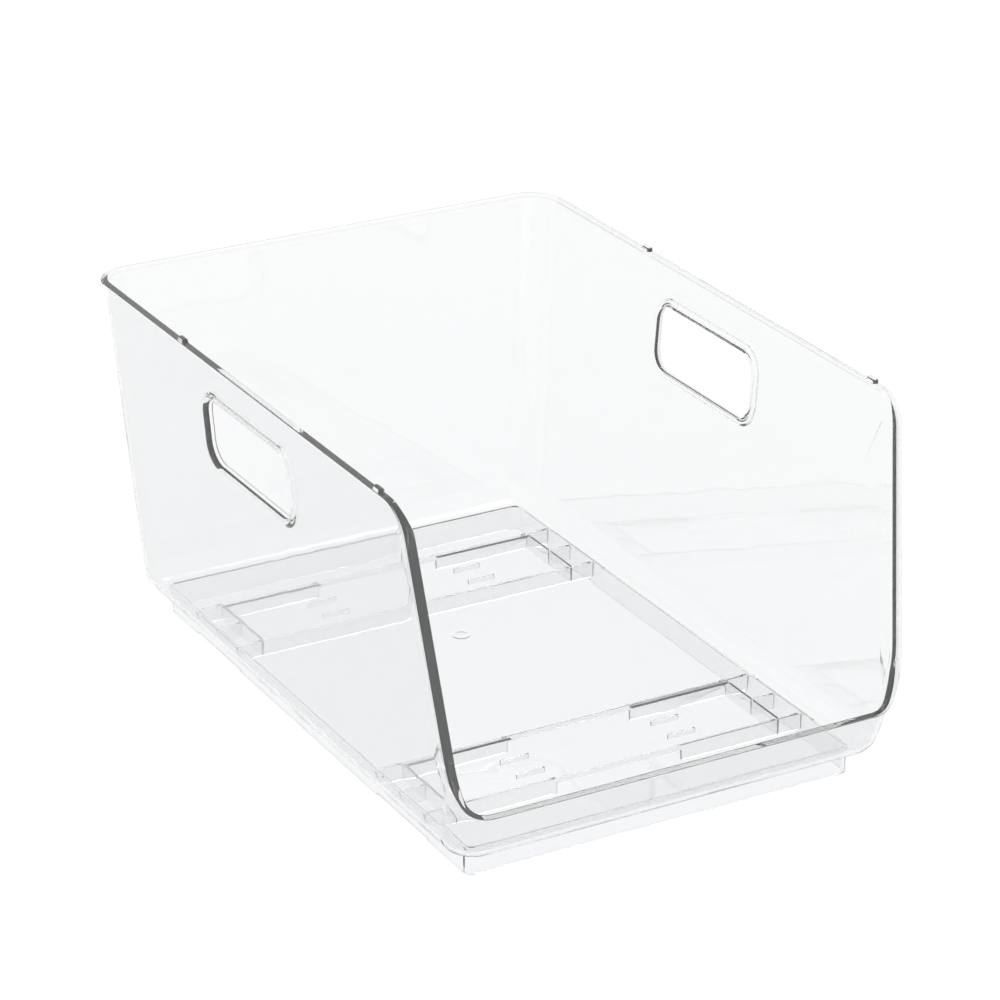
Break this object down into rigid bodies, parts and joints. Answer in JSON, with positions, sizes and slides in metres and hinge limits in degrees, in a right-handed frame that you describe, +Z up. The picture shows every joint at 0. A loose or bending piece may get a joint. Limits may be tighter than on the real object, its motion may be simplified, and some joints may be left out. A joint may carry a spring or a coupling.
{
  "type": "storage bin",
  "caption": "Clear open-topped fridge bin with a low front lip, swept side walls, a hand slot through each side, a rolled rim and a ribbed base skirt.",
  "frame": {"origin": "middle of the footprint, on the surface that the base skirt stands on", "axes": "+Z up; -Y towards the open front with the low lip; +X to the right as seen from the front"},
  "size_m": [0.254, 0.3523, 0.18],
  "materials": {
    "clear_plastic": "gloss"
  },
  "bodies": {
    "root": {"floor_panel": "clear_plastic", "rear_wall": "clear_plastic", "front_lip": "clear_plastic", "left_rear_corner": "clear_plastic", "right_rear_corner": "clear_plastic", "left_front_corner": "clear_plastic", "right_front_corner": "clear_plastic", "left_wall": "clear_plastic", "right_wall": "clear_plastic", "lip_bead": "clear_plastic", "rear_rim_bead": "clear_plastic", "left_rim_bead": "clear_plastic", "right_rim_bead": "clear_plastic", "left_front_edge": "clear_plastic", "right_front_edge": "clear_plastic", "left_slot_collar": "clear_plastic", "right_slot_collar": "clear_plastic", "rim_nubs": "clear_plastic", "front_skirt": "clear_plastic", "rear_skirt": "clear_plastic", "left_skirt": "clear_plastic", "right_skirt": "clear_plastic", "front_band_front_rib": "clear_plastic", "front_band_rear_rib": "clear_plastic", "front_band_left_end_rib": "clear_plastic", "front_band_right_end_rib": "clear_plastic", "front_band_short_bars": "clear_plastic", "rear_band_front_rib": "clear_plastic", "rear_band_rear_rib": "clear_plastic", "rear_band_left_end_rib": "clear_plastic", "rear_band_right_end_rib": "clear_plastic", "rear_band_short_bars": "clear_plastic", "gate_mark": "clear_plastic"}
  },
  "joints": []
}
